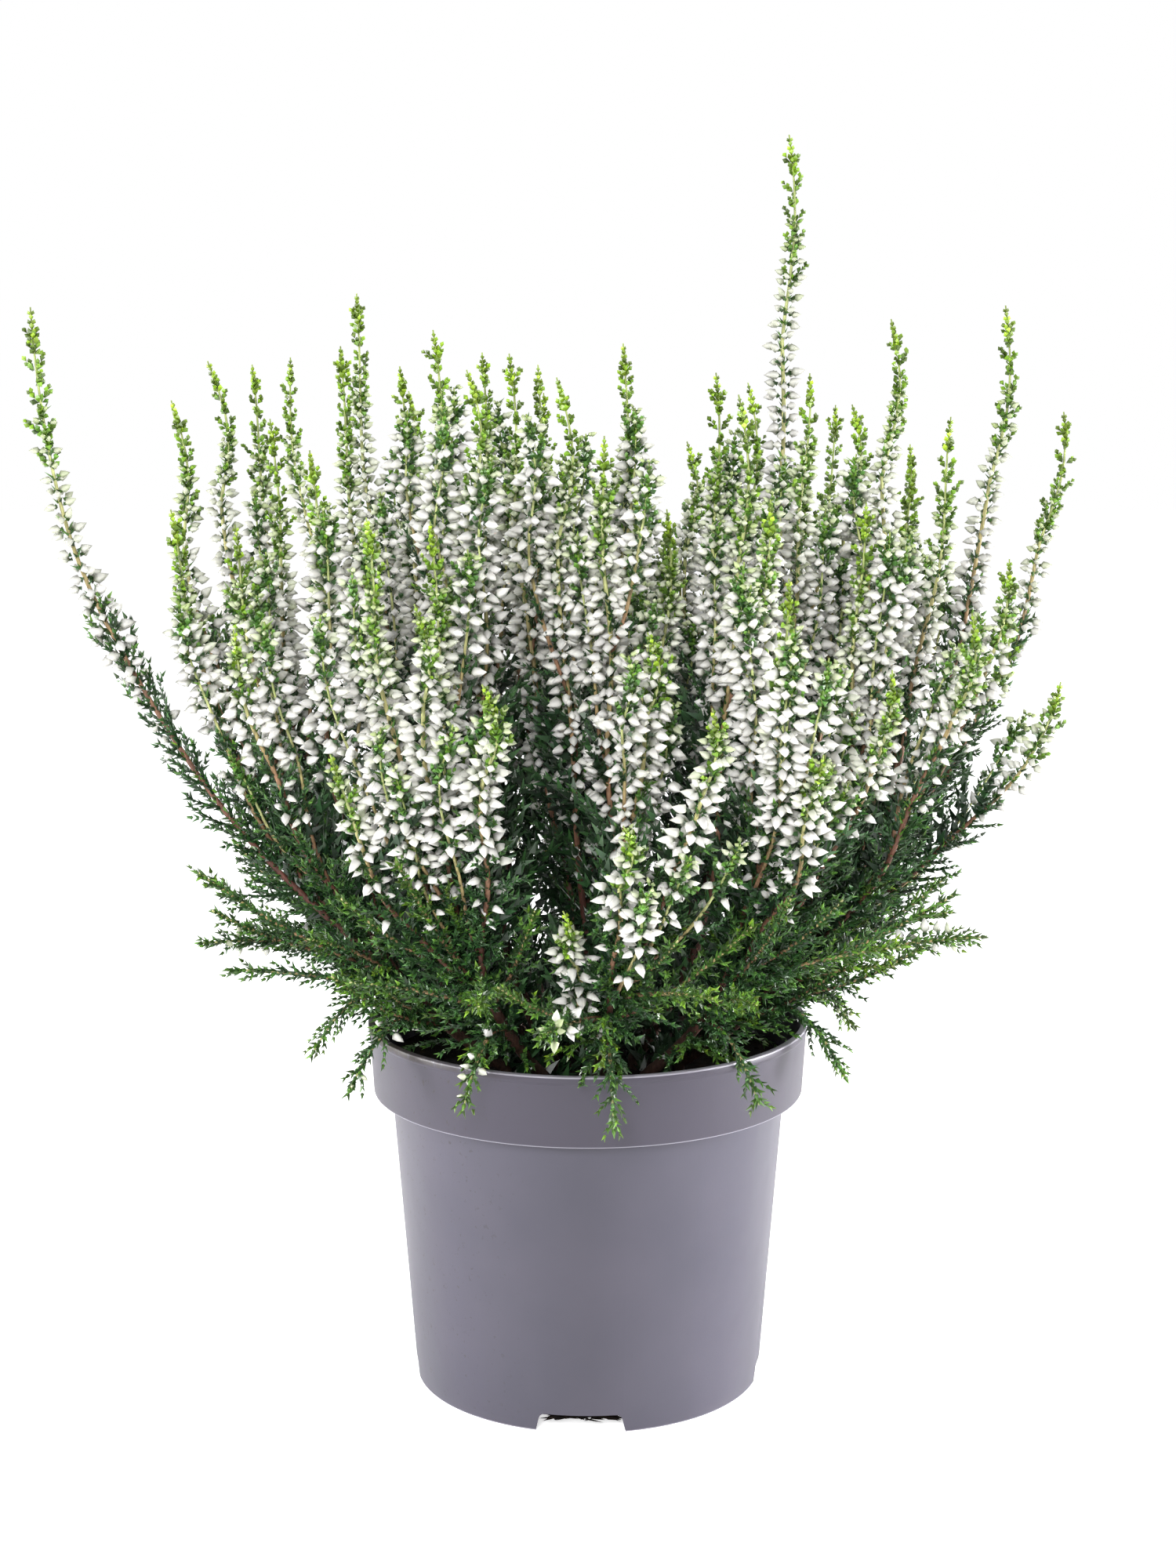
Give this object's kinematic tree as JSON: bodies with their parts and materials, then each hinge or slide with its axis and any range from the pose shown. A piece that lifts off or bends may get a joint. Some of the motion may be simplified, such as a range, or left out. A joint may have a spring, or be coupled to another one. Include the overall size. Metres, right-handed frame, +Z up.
{
  "type": "potted heather",
  "caption": "Bushy heather with upright white-budded shoots and green tips over dark scale-leaf foliage, in a round tapered grey nursery pot with a stepped collar.",
  "frame": {"origin": "the middle of the pot's foot, on the surface it stands on", "axes": "+Z up along the pot's axis, -Y towards the picture's viewer, +X to the viewer's right"},
  "size_m": [0.2712, 0.2153, 0.337],
  "materials": {
    "pot_plastic": "satin",
    "potting_soil": "matte",
    "heather_shoot": "matte",
    "heather_stem": "matte",
    "heather_leaf": "satin",
    "heather_bud": "satin"
  },
  "bodies": {
    "root": {"pot": "pot_plastic", "soil": "potting_soil", "spray_01": "heather_shoot", "spray_02": "heather_shoot", "spray_03": "heather_shoot", "spray_04": "heather_shoot", "spray_05": "heather_shoot", "spray_06": "heather_shoot", "spray_07": "heather_shoot", "spray_08": "heather_shoot", "spray_09": "heather_shoot", "spray_10": "heather_shoot", "spray_11": "heather_shoot", "spray_12": "heather_shoot", "spray_13": "heather_shoot", "spray_14": "heather_shoot", "spray_15": "heather_shoot", "spray_16": "heather_shoot", "spray_17": "heather_shoot", "spray_18": "heather_shoot", "spray_19": "heather_shoot", "spray_20": "heather_shoot"}
  },
  "joints": []
}
